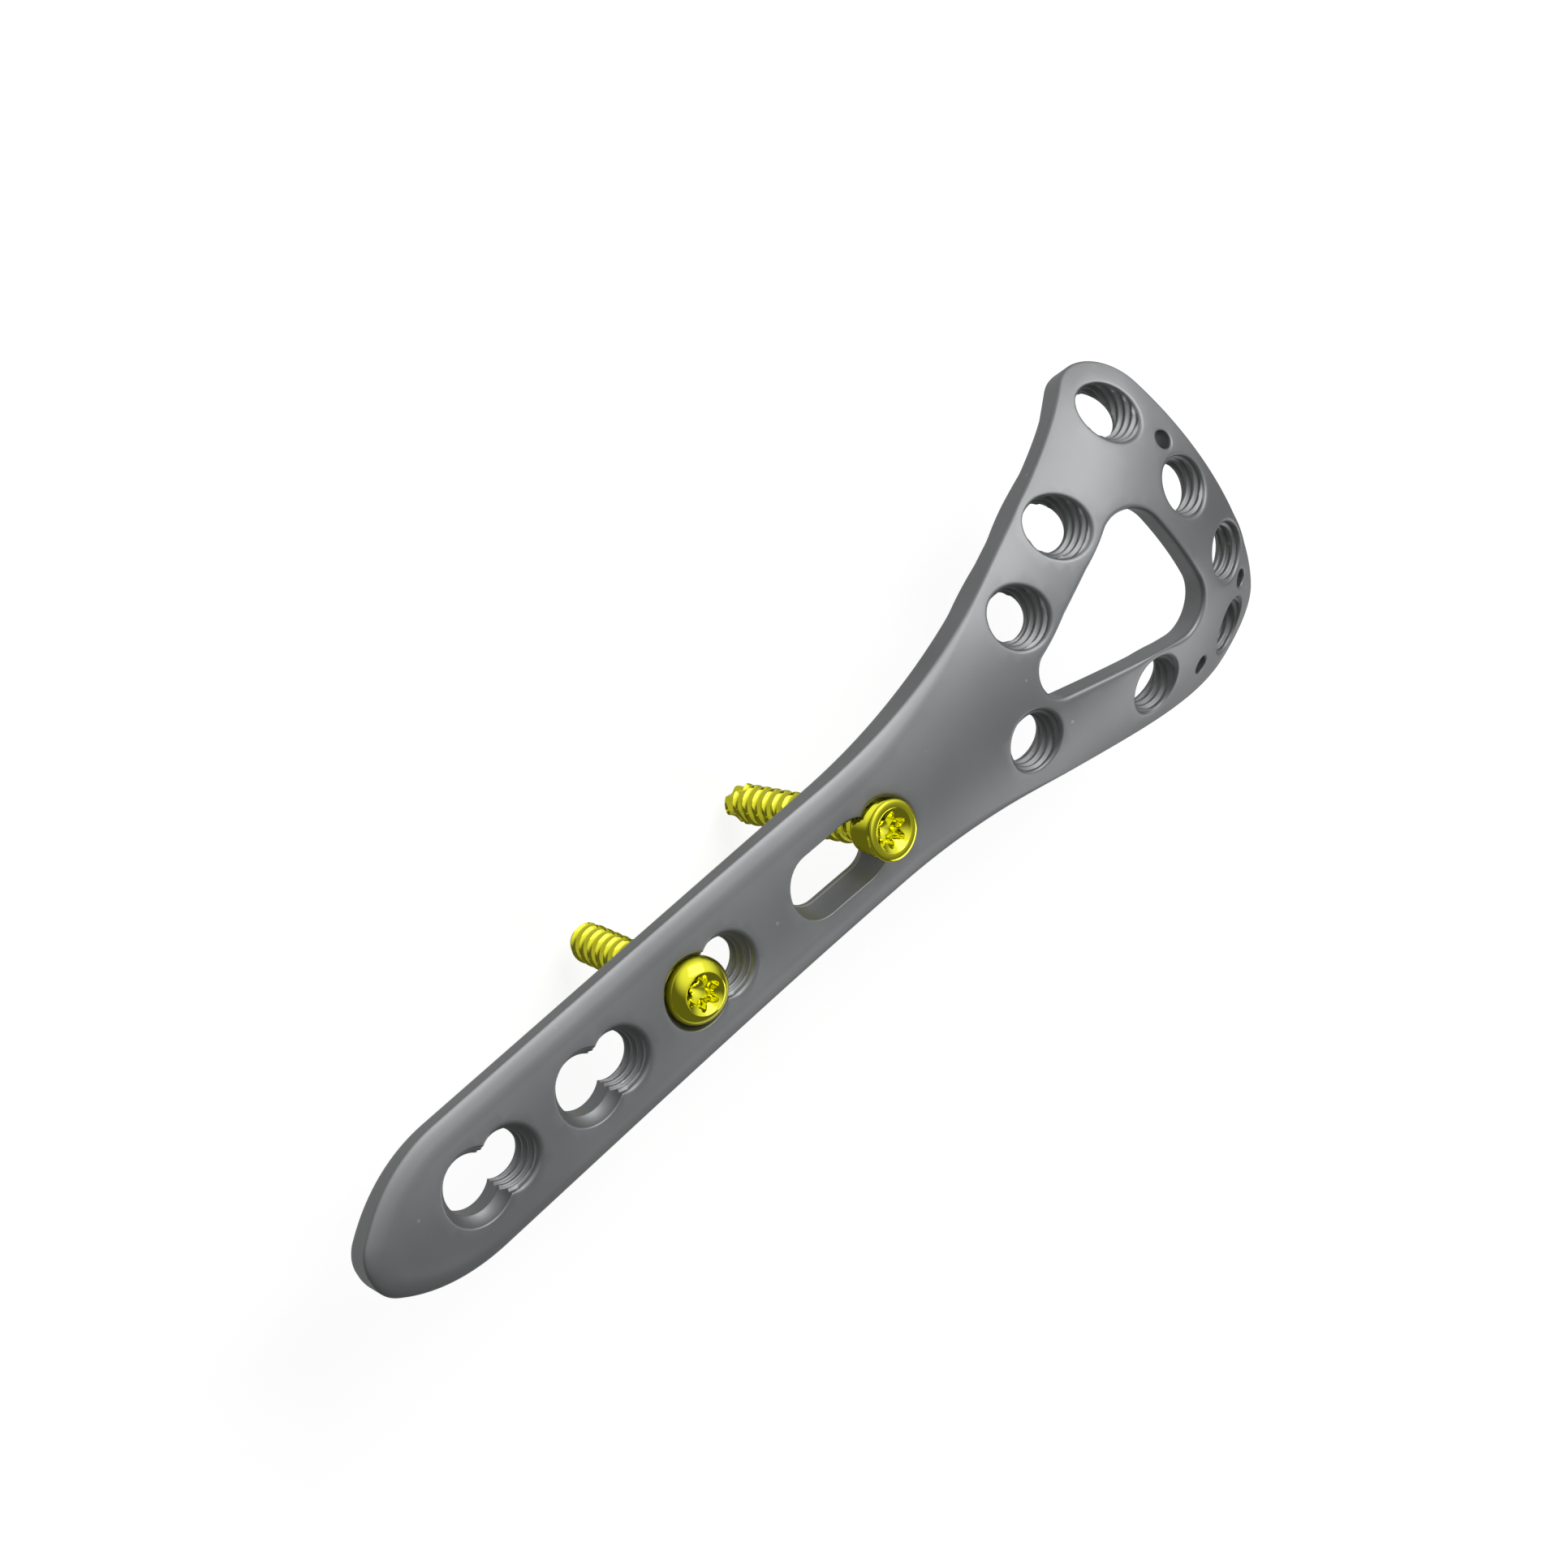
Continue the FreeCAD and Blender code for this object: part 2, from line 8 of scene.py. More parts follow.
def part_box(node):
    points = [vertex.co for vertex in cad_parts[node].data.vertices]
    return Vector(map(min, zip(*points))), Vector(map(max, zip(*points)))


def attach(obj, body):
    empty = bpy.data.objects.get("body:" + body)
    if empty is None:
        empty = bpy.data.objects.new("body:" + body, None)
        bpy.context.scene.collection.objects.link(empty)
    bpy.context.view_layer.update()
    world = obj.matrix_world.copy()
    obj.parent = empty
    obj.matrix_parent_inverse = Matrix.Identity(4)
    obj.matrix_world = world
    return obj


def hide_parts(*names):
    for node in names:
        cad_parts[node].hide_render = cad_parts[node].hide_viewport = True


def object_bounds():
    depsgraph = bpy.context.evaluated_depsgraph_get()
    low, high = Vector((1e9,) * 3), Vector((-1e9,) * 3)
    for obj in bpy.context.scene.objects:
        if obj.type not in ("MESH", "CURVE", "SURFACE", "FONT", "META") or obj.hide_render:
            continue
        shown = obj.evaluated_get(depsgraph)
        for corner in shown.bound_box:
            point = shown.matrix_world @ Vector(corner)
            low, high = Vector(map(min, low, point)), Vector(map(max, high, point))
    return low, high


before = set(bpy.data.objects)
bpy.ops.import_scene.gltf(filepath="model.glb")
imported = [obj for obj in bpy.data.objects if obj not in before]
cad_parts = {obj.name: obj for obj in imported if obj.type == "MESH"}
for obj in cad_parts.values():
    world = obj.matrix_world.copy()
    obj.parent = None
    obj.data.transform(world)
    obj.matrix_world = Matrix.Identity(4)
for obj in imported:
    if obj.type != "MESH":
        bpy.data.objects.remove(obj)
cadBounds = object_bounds()
mm = 0.001

# The plate's surface, section by section from behind the tip to beyond the head, in millimetres
# Stations run from the tip, x = 0, and y is measured from the shaft's middle line
plateForm = {
    "firstStation": -6.0, "stationStep": 14.5,
    "crown": (0.0, 0.0, 0.0, 0.05, 0.4, 1.2, 2.4, 2.85, -1.7),
    "crownRadius": (23.0, 23.0, 23.0, 23.0, 22.5, 20.5, 20.5, 22.7, 23.0),
    "crownShift": (0.0, 0.0, 0.0, 0.0, 0.0, 0.0, 0.3, 1.4, 2.0),
    "thickness": (3.0, 3.0, 3.0, 3.0, 3.0, 2.9, 2.7, 2.6, 2.6),
    "wallLean": (0.9, 0.9, 0.9, 0.85, 0.6, 0.2, 0.35, 0.56, 0.85),    # 0 = upright, 1 = square to the face
    "originX": 74.7, "originY": -3.0,
    "topEdge": 0.34, "boneEdge": 0.95, "rows": 8,    # rounding of the long edges, and the rows between
    "faceEase": 2.1,                       # how far the outer face eases into the shaft's long edges
    "easeEnd": 80.0, "easeFade": 20.0,     # station where that has ended, and the length over which it fades
    "cell": 1.0, "cellShift": 0.137,       # grid of the two faces, set a little off the holes' own middles
}
shaftThickness, headThickness = plateForm["thickness"][0], plateForm["thickness"][6]

# Corners of the plan before rounding: x, y, radius, anticlockwise
outlineCorners = (
    (0.0, -1.95, 3.4), (5.7, -6.6, 15.0), (65.6, -5.85, 60.0), (106.9, -16.3, 5.0),
    (102.6, 21.15, 4.6), (67.0, 6.55, 62.0), (5.7, 6.55, 15.0), (0.0, 1.75, 3.4),
)
windowCorners = ((72.7, 0.3, 2.5), (98.1, -6.3, 3.2), (94.3, 10.5, 3.6))
windowEdge = {"top": 0.55, "bone": 0.5, "rows": 6}

# Threaded holes: x, y, and the lean of the axis to +X and +Y in degrees
lockingHoles = {
    "collar": (74.7, -3.0, 0.0, 0.0),
    "flankLeft": (78.9, 7.1, 6.0, 3.0),
    "midLeft": (86.9, 11.0, 7.0, 4.0),
    "flankRight": (88.7, -7.2, -3.0, -4.0),
    "cornerLeft": (98.5, 15.0, 11.0, 6.0),
    "edgeLeft": (100.3, 6.3, 9.0, 4.0),
    "edgeMid": (102.0, -2.1, 12.0, -4.0),
    "cornerRight": (100.9, -9.9, 10.0, -10.0),
}
lockingBore = {
    "radius": 2.5, "flare": 0.32,          # wider by the flare at the outer face, narrower by it at the bone
    "segments": 88, "rows": 46, "topEdge": 0.32, "boneEdge": 0.3,
    "pitch": 0.70, "root": 0.07, "depth": 0.29, "fade": 0.2,
    "windFrom": 5.0,                       # height above the face that the thread is wound from
}
wireHoles = {
    "wireLeft": (101.2, 10.5, 11.0, 6.0),
    "wireRight": (103.4, -6.2, 12.0, -6.0),
    "wireFlank": (95.2, -10.0, 4.0, -8.0),
}
wireBore = {"radius": 0.85, "flare": 0.0, "segments": 40, "rows": 5, "topEdge": 0.25, "boneEdge": 0.2}

# Combination holes: a threaded circle that overlaps a dished circle on its tip side
combiHoles = {
    "first": 14.7, "pitch": 12.3, "count": 3, "offset": 3.4,
    "dishRadius": 3.35, "dishSphere": 3.6, "dishBore": 2.55,
}
# Elongated hole: a dished channel that ends in a threaded circle
slotHole = {
    "tipX": 50.2, "endX": 54.7, "roundX": 58.0,
    "half": 3.0, "boreHalf": 2.2, "dishDepth": 2.35, "ledge": 0.12, "dishPower": 1.9,
}
# Points along each stretch of their walls, and the rim at the cusps and round the thread
keyholeForm = {
    "circle": 60, "dish": 44, "end": 10, "side": 5, "tip": 20,
    "cuspRim": 0.14, "threadRim": 0.3, "rimFade": 6.0,
}
# Every rim: its least reach, and the share that it may take of the metal beside it once the gap is left
rimForm = {"least": 0.06, "share": 0.42, "gap": 0.05, "probe": 0.08, "steps": 4, "easedSteps": 8}


# Natural cubic through evenly spaced values
def smoothThrough(values):
    n = len(values)
    upper, right = [0.0] * n, [0.0] * n
    for i in range(1, n - 1):
        pivot = 4.0 - upper[i - 1]
        upper[i] = 1.0 / pivot
        right[i] = (6.0 * (values[i + 1] - 2 * values[i] + values[i - 1]) - right[i - 1]) / pivot
    bend = [0.0] * n
    for i in range(n - 2, 0, -1):
        bend[i] = right[i] - upper[i] * bend[i + 1]

    def at(station):
        place = min(max(station, 0.0), n - 1.001)
        i = int(place)
        t = place - i
        s = 1.0 - t
        return s * values[i] + t * values[i + 1] + ((s ** 3 - s) * bend[i] + (t ** 3 - t) * bend[i + 1]) / 6.0
    return at


faceCurves = ("crown", "crownRadius", "crownShift", "thickness")
formCurves = {key: smoothThrough(plateForm[key]) for key in faceCurves + ("wallLean",)}


def stationOf(x):
    return (x - plateForm["firstStation"]) / plateForm["stationStep"]


# Height of the surface over one point of the plan, where depth 0 is the outer face and 1 the bone face
def faceHeight(x, y, depth=0.0):
    crown, radius, shift, thick = (formCurves[key](stationOf(x)) for key in faceCurves)
    reach = radius - thick * depth
    return crown - radius + math.sqrt(max(reach ** 2 - (y - shift) ** 2, 0.01))


# Unit vector along the face, leaving a point of the plan in one direction
def alongFace(x, y, dx, dy, depth=0.0):
    step = 0.05
    ahead = faceHeight(x + step * dx, y + step * dy, depth)
    behind = faceHeight(x - step * dx, y - step * dy, depth)
    return Vector((dx, dy, (ahead - behind) / (2 * step))).normalized()


# Plan points and outward directions of a polygon with rounded corners
def roundedPlan(corners, spacing=0.55, turn=5.0):
    places = [Vector((x, y)) for x, y, r in corners]
    plan = []
    for i, (x, y, radius) in enumerate(corners):
        before = (places[i - 1] - places[i]).normalized()
        after = (places[(i + 1) % len(places)] - places[i]).normalized()
        half = math.acos(max(-1.0, min(1.0, before.dot(after)))) / 2
        centre = places[i] + (before + after).normalized() * (radius / math.sin(half))
        hollow = before.x * after.y - before.y * after.x > 0
        reach = radius / math.tan(half)
        start, finish = places[i] + before * reach, places[i] + after * reach
        a0 = math.atan2(start.y - centre.y, start.x - centre.x)
        a1 = math.atan2(finish.y - centre.y, finish.x - centre.x)
        sweep = (a1 - a0 + math.pi) % (2 * math.pi) - math.pi
        count = max(3, int(abs(math.degrees(sweep)) / turn), int(abs(sweep) * radius / spacing))
        arc = []
        for k in range(count + 1):
            a = a0 + sweep * k / count
            out = Vector((math.cos(a), math.sin(a)))
            arc.append((centre + out * radius, -out if hollow else out))
        if plan:
            addStraight(plan, plan[-1], arc[0], spacing)
        plan += arc
    addStraight(plan, plan[-1], plan[0], spacing)
    return plan


def addStraight(plan, first, last, spacing):
    count = int((last[0] - first[0]).length / spacing)
    for k in range(1, count):
        plan.append((first[0].lerp(last[0], k / count), first[1].lerp(last[1], k / count).normalized()))


# Rounded edge as a short curve from the face into the wall
def edgeCurve(corner, face, wall, reach, steps, ease=0.0):
    start, end = corner + face * max(reach, ease), corner + wall * reach
    places = [k / steps for k in range(steps + 1)]
    return [start * (1 - t) ** 2 + corner * 2 * t * (1 - t) + end * t ** 2 for t in places]


# Rows of one wall from the outer face to the bone face
# wallPoint(i, f) is line i at the fraction f of the depth, and outward[i] leads from the wall into the metal
def wallRows(count, wallPoint, outward, topReach, boneReach, rows, spare, ease=0.0):
    lines = []
    for i in range(count):
        top, bottom = wallPoint(i, 0.0), wallPoint(i, 1.0)
        # a rim narrows where the metal beside it is thin
        topRoom, boneRoom = rimForm["share"] * spare(top, 0), rimForm["share"] * spare(bottom, 1)
        topEdge = min(topReach(i) if callable(topReach) else topReach, max(rimForm["least"], topRoom))
        boneEdge = min(boneReach, max(rimForm["least"], boneRoom))
        fade = min(max((plateForm["easeEnd"] - top.x) / plateForm["easeFade"], 0.0), 1.0)
        steps = rimForm["easedSteps"] if ease else rimForm["steps"]
        dx, dy = outward[i]
        topFace, boneFace = alongFace(top.x, top.y, dx, dy), alongFace(bottom.x, bottom.y, dx, dy, 1.0)
        downWall = (wallPoint(i, rimForm["probe"]) - top).normalized()
        upWall = (wallPoint(i, 1 - rimForm["probe"]) - bottom).normalized()
        first = edgeCurve(top, topFace, downWall, topEdge, steps, min(ease * fade, topRoom))
        last = edgeCurve(bottom, boneFace, upWall, boneEdge, rimForm["steps"])
        tall = (top - bottom).length
        f0, f1 = topEdge / tall, 1 - boneEdge / tall
        middle = [wallPoint(i, f0 + (f1 - f0) * k / rows) for k in range(1, rows)]
        lines.append(first + middle + last[::-1])
    return [[line[k] for line in lines] for k in range(len(lines[0]))]


# Foot of a wall on the bone face, below one point of the plan
def wallFoot(x, y, lean):
    square = alongFace(x, y, 1, 0).cross(alongFace(x, y, 0, 1)).normalized()
    down = square * formCurves["thickness"](stationOf(x))
    share = lean * formCurves["wallLean"](stationOf(x))
    x, y = x - down.x * share, y - down.y * share
    return Vector((x, y, faceHeight(x, y, 1.0)))


outlinePlan, windowPlan = roundedPlan(outlineCorners), roundedPlan(windowCorners, 0.5, 4.0)
topRims = [point for point, out in outlinePlan + windowPlan]
boneRims = [wallFoot(p.x, p.y, 1).xy for p, out in outlinePlan] + [p for p, out in windowPlan]


# Metal left in plan between a point and the nearest long edge; level 0 is the outer face, 1 the bone face
def spareToEdge(p, level):
    return min((p.xy - point).length for point in (boneRims if level else topRims)) - rimForm["gap"]


# The same up to the nearest threaded hole, whose lean and taper move its rim on the bone face
def spareToHoles(p, level):
    spare = []
    for x, y, leanX, leanY in lockingHoles.values():
        drop = headThickness * level
        centre = Vector((x - drop * math.tan(math.radians(leanX)), y - drop * math.tan(math.radians(leanY))))
        spare.append((p.xy - centre).length)
    return min(spare) - lockingBore["radius"] - lockingBore["flare"] * (1 - 2 * level) - rimForm["gap"]


# The ridge of a thread at one turn fraction, 0 at the root and 1 at the crest
def ridge(turn, low=0.2, high=0.85):
    t = abs(2 * (turn % 1.0) - 1)
    t = min(max((t - low) / (high - low), 0.0), 1.0)
    return t * t * (3 - 2 * t)


# What a bore's thread adds to its radius, at one angle and height; it fades at both rims
def boreThread(height, depthIn, depthOut, angle):
    near = min(max(min(depthIn, depthOut) / lockingBore["fade"], 0.0), 1.0)
    turn = height / lockingBore["pitch"] + angle / (2 * math.pi)
    return near * (lockingBore["root"] - lockingBore["depth"] * ridge(turn))


# Tapered bore that leans, with or without a thread
def leaningWall(hole, bore, threaded):
    x, y, leanX, leanY = hole
    axis = Vector((math.tan(math.radians(leanX)), math.tan(math.radians(leanY)), 1.0)).normalized()
    side = Vector((1, 0, 0)).cross(axis).normalized()
    across = axis.cross(side)
    centre = Vector((x, y, faceHeight(x, y)))
    count = bore["segments"]
    ends, outward = [], []
    for i in range(count):
        angle = 2 * math.pi * i / count
        out = side * math.cos(angle) + across * math.sin(angle)
        pair = []
        for depth in (0.0, 1.0):
            point = centre + out * (bore["radius"] + bore["flare"] * (1 - 2 * depth))
            for _ in range(6):             # slides along the axis until it meets the curved face
                point = point + axis * ((faceHeight(point.x, point.y, depth) - point.z) / axis.z)
            pair.append(point)
        ends.append((pair[0], pair[1], out, angle))
        outward.append(Vector((out.x, out.y)).normalized())

    def wallPoint(i, f):
        top, bottom, out, angle = ends[i]
        point = top.lerp(bottom, f)
        if threaded:
            tall = (top - bottom).length
            height = (centre - point).dot(axis) + bore["windFrom"]
            depthIn, depthOut = f * tall - bore["topEdge"], (1 - f) * tall - bore["boneEdge"]
            point = point + out * boreThread(height, depthIn, depthOut, angle)
        return point
    return wallRows(count, wallPoint, outward, bore["topEdge"], bore["boneEdge"], bore["rows"], spareToEdge)


# Points and outward directions of an arc round (x, 0), without its last point
def planArc(x, radius, start, finish, count):
    arc = []
    for k in range(count):
        angle = start + (finish - start) * k / count
        out = Vector((math.cos(angle), math.sin(angle)))
        arc.append((Vector((x, 0)) + out * radius, out))
    return arc


# Points and outward directions of a straight side along the shaft, without its last point
def planSide(startX, finishX, y, count):
    out = Vector((0, math.copysign(1, y)))
    return [(Vector((startX + (finishX - startX) * k / count, y)), out) for k in range(count)]


# Threaded circle that overlaps a dished circle (tipX the same as dishX) or channel on its tip side
def keyholeWall(roundX, dishX, tipX, dishHalf):
    bore, form = lockingBore, keyholeForm
    distance = roundX - dishX
    quarter = math.pi / 2

    def contour(f):
        half = dishHalf(f)
        radius = bore["radius"] + bore["flare"] * (1 - 2 * f)
        depthIn = f * shaftThickness - bore["topEdge"]
        depthOut = shaftThickness - bore["boneEdge"] - f * shaftThickness

        def threadRadius(angle):
            return radius + boreThread(depthIn, depthIn, depthOut, angle)
        cusps = []
        for turn in (-1, 1):
            r = radius
            for _ in range(2):             # the thread shifts the cusp a little
                a = (distance ** 2 + r ** 2 - half ** 2) / (2 * distance)
                rise = math.sqrt(max(r ** 2 - a ** 2, 0.01))
                angle = math.atan2(turn * rise, -a)
                r = threadRadius(angle)
            cusps.append((angle, math.atan2(turn * rise, distance - a)))
        (low, dishLow), (high, dishHigh) = cusps
        points = []
        for k in range(form["circle"]):
            angle = low + (high - low) * k / form["circle"]
            r = threadRadius(angle)
            out = Vector((math.cos(angle), math.sin(angle)))
            points.append((Vector((roundX + r * math.cos(angle), r * math.sin(angle))), out))
        if tipX == dishX:
            return points + planArc(dishX, half, dishHigh, dishLow + 4 * quarter, form["dish"])
        points += planArc(dishX, half, dishHigh, quarter, form["end"])
        points += planSide(dishX, tipX, half, form["side"])
        points += planArc(tipX, half, quarter, 3 * quarter, form["tip"])
        points += planSide(tipX, dishX, -half, form["side"])
        return points + planArc(dishX, half, -quarter, dishLow, form["end"])

    known = {}                             # contours that are ready, by their fraction of the depth

    def wallPoint(i, f):
        if f not in known:
            known[f] = contour(f)
        p = known[f][i][0]
        return Vector((p.x, p.y, faceHeight(p.x, p.y) * (1 - f) + faceHeight(p.x, p.y, 1.0) * f))
    outward = [out for point, out in contour(0.0)]
    # at the two cusps the way into the metal leads straight to the side
    outward[0] = Vector((0.0, -1.0))
    outward[form["circle"]] = Vector((0.0, 1.0))

    # soft rim round the thread, crisp rim round the dish
    def rim(i):
        away = min(i, form["circle"] - i) / form["rimFade"] if i <= form["circle"] else 0.0
        return form["cuspRim"] + form["threadRim"] * min(away, 1.0)
    return wallRows(len(outward), wallPoint, outward, rim, bore["boneEdge"], bore["rows"], spareToEdge)


# How far the middle of a combination hole's round dish lies above the face
dishRise = math.sqrt(combiHoles["dishSphere"] ** 2 - combiHoles["dishRadius"] ** 2)


def combiDish(f):
    sink = dishRise + f * shaftThickness
    return max(math.sqrt(max(combiHoles["dishSphere"] ** 2 - sink ** 2, 0.0)), combiHoles["dishBore"])


def slotDish(f):
    part = min(f * shaftThickness / slotHole["dishDepth"], 1.0)
    narrow = slotHole["half"] - slotHole["boreHalf"] - slotHole["ledge"]
    swell = slotHole["half"] - narrow * part ** slotHole["dishPower"]
    return swell if part < 1.0 else slotHole["boreHalf"]


# Wall along one outline of the plan, leaning inwards with the crowned face (lean 1) or upright (lean 0)
def longWall(plan, inward, lean, topEdge, boneEdge, rows, ease=0.0):
    ends = [(Vector((p.x, p.y, faceHeight(p.x, p.y))), wallFoot(p.x, p.y, lean)) for p, out in plan]

    def wallPoint(i, f):
        return ends[i][0].lerp(ends[i][1], f)
    outward = [-out if inward else out for point, out in plan]
    return wallRows(len(plan), wallPoint, outward, topEdge, boneEdge, rows, spareToHoles, ease)


def deselect():
    if bpy.context.object and bpy.context.object.mode != "OBJECT":
        bpy.ops.object.mode_set(mode="OBJECT")
    bpy.ops.object.select_all(action="DESELECT")


# Selects the listed objects and joins them into the first
def joinAll(things, name):
    deselect()
    for thing in things:
        thing.select_set(True)
    bpy.context.view_layer.objects.active = things[0]
    bpy.ops.object.join()
    joined = bpy.context.object
    joined.name = joined.data.name = name
    return joined


# Station millimetres to the row's frame in metres
def toRow(p):
    return Vector((p[0] - plateForm["originX"], p[1] - plateForm["originY"], p[2])) * mm


# One tube as a flat grid rolled up, with its seam merged
def rollRows(name, rows):
    deselect()
    count, last = len(rows[0]), len(rows) - 1
    bpy.ops.mesh.primitive_grid_add(x_subdivisions=count, y_subdivisions=last, size=1, location=(0, 0, 0))
    thing = bpy.context.object
    thing.name = name
    for vert in thing.data.vertices:
        column, row = round((vert.co.x + 0.5) * count) % count, round((vert.co.y + 0.5) * last)
        vert.co = rows[row][column]
    bpy.ops.object.mode_set(mode="EDIT")
    bpy.ops.mesh.select_all(action="SELECT")
    bpy.ops.mesh.remove_doubles(threshold=2e-7)
    bpy.ops.object.mode_set(mode="OBJECT")
    return thing


# While the faces are being filled, the first and last rows lie in two flat planes
flatTop, flatBone, flatWithin = 0.04, -0.04, 1e-6


def plateWall(name, rows):
    rows = [[toRow(p) for p in row] for row in rows]
    for row, level in ((rows[0], flatTop), (rows[-1], flatBone)):
        for point in row:
            point.z = level
    return rollRows(name, rows)


def selectFlat(items, level):
    for item in items:
        item.select_set(all(abs(v.co.z - level) < flatWithin for v in item.verts))


# Fills one flat plane between the rims and cuts the fill into a grid
def fillFace(thing, level):
    bpy.ops.mesh.select_mode(type="EDGE")
    bpy.ops.mesh.select_all(action="DESELECT")
    selectFlat(bmesh.from_edit_mesh(thing.data).edges, level)
    bmesh.update_edit_mesh(thing.data)
    bpy.ops.mesh.fill(use_beauty=True)
    bpy.ops.mesh.select_mode(type="FACE")
    bpy.ops.mesh.select_all(action="DESELECT")
    selectFlat(bmesh.from_edit_mesh(thing.data).faces, level)
    bmesh.update_edit_mesh(thing.data)
    bpy.ops.mesh.dissolve_limited(angle_limit=math.radians(1))
    bpy.ops.mesh.hide(unselected=True)
    cell = plateForm["cell"] * mm
    low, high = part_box("bone_plate")
    for axis in (0, 1):
        normal = [0, 0, 0]
        normal[axis] = 1
        for k in range(1, int((high[axis] - low[axis]) / cell) + 1):
            place = [0, 0, 0]
            place[axis] = low[axis] + (k + plateForm["cellShift"]) * cell
            bpy.ops.mesh.select_all(action="SELECT")
            bpy.ops.mesh.bisect(plane_co=place, plane_no=normal)
    bpy.ops.mesh.reveal(select=False)


def makePlate():
    form = plateForm
    top, bone = form["topEdge"], form["boneEdge"]
    outline = longWall(outlinePlan, True, 1, top, bone, form["rows"], form["faceEase"])
    window = longWall(windowPlan, False, 0, windowEdge["top"], windowEdge["bone"], windowEdge["rows"])
    walls = [plateWall("outline", outline), plateWall("window", window)]
    walls += [plateWall(name, leaningWall(hole, lockingBore, True)) for name, hole in lockingHoles.items()]
    walls += [plateWall(name, leaningWall(hole, wireBore, False)) for name, hole in wireHoles.items()]
    for number in range(combiHoles["count"]):
        x = combiHoles["first"] + number * combiHoles["pitch"]
        dishX = x - combiHoles["offset"]
        walls.append(plateWall("combi%d" % number, keyholeWall(x, dishX, dishX, combiDish)))
    slot = keyholeWall(slotHole["roundX"], slotHole["endX"], slotHole["tipX"], slotDish)
    walls.append(plateWall("slot", slot))
    print("walls of the plate ready")
    plate = joinAll(walls, "contouredPlate")
    bpy.ops.object.mode_set(mode="EDIT")
    for level in (flatTop, flatBone):
        fillFace(plate, level)
    bpy.ops.object.mode_set(mode="OBJECT")
    for vert in plate.data.vertices:       # lifts both planes back onto their curved faces
        x, y = vert.co.x / mm + form["originX"], vert.co.y / mm + form["originY"]
        if abs(vert.co.z - flatTop) < flatWithin:
            vert.co.z = faceHeight(x, y) * mm
        elif abs(vert.co.z - flatBone) < flatWithin:
            vert.co.z = faceHeight(x, y, 1.0) * mm
    bpy.ops.object.mode_set(mode="EDIT")
    bpy.ops.mesh.select_all(action="SELECT")
    bpy.ops.mesh.normals_make_consistent(inside=False)
    bpy.ops.object.mode_set(mode="OBJECT")
    bpy.ops.object.shade_smooth_by_angle(angle=math.radians(38))
    return plate


plate = makePlate()
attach(plate, "root")
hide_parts("bone_plate")
print("plate", len(plate.data.polygons), "faces")

# Both screws, in millimetres along their own axis, which points out of the head
screwForm = {
    "segments": 72, "joint": 0.015, "clearance": 0.03,    # joint: half the gap in which two parts are bridged
    "threadRadius": 1.8, "coreRadius": 1.44, "pitch": 1.33, "neckRadius": 1.46,
    "crestShift": 0.025, "crestFlat": 0.95, "flankHeight": 0.92, "flankPower": 3.0,
    "runOutStart": 0.1, "runOut": 1.1,     # the thread grows out of the neck along its run-out
    "recessOuter": 1.60, "recessInner": 1.06, "recessDepth": 1.7, "lobePower": 0.85,
    "floorRings": ((0.03, 0.4), (0.35, 0.24), (0.7, 0.06)),      # radius, and depth below the recess's floor
    "starRings": ((0.1, 0.0), (0.04, 0.08), (0.02, 0.7)),        # inset, and height above it
    "mouthSlope": 0.62, "lip": 0.06, "lipDrop": 0.05,
    "pointLength": 0.7, "pointRadius": 1.5,
    "pointRings": ((0.96, 0.1), (0.84, 0.2), (0.6, 0.27), (0.3, 0.3), (0.04, 0.31)),    # share, drop
    "fluteLength": 2.4, "fluteHalf": 0.5, "fluteTwist": 0.25,
}
lockingScrew = {
    "length": 21.1, "fluteDepth": 0.4, "lean": 4.0, "sunk": 0.5,
    "headRadius": 2.7, "headFoot": 2.3, "headHeight": 2.6,
    "rimHeight": 0.45, "rimStep": 0.12, "rimRound": 0.22, "rimFlat": 0.3,
    "mouth": 1.95, "headPitch": 0.48, "headThread": 0.2, "threadFade": 0.2, "neckDrop": 0.4,
}
corticalScrew = {
    "length": 19.6, "fluteDepth": 0.0, "lean": -3.0,
    "headRadius": 2.95, "headTall": 1.65, "domeBand": 0.32, "domeRows": 16, "underRows": 9,
    "mouth": 1.84, "edgeStep": 0.06, "neckDrop": 0.2,
}
# Places of one turn's grid rows, as fractions of the pitch from the crest
shankSteps = (0.0, 0.05, 0.11, 0.2, 0.32, 0.45, 0.58, 0.71, 0.83, 0.93)
headSteps = (0.0, 0.16, 0.36, 0.5, 0.64, 0.84)
screwAngles = [2 * math.pi * i / screwForm["segments"] for i in range(screwForm["segments"])]
pointDrop = screwForm["pointRings"][-1][1]


# Six-lobed driver recess: radius at one angle
def starRadius(angle):
    wave = (1 + math.cos(6 * angle)) / 2
    spread = screwForm["recessOuter"] - screwForm["recessInner"]
    return screwForm["recessInner"] + spread * wave ** screwForm["lobePower"]


def circleRow(radius, z):
    return [Vector((radius * math.cos(a), radius * math.sin(a), z)) for a in screwAngles]


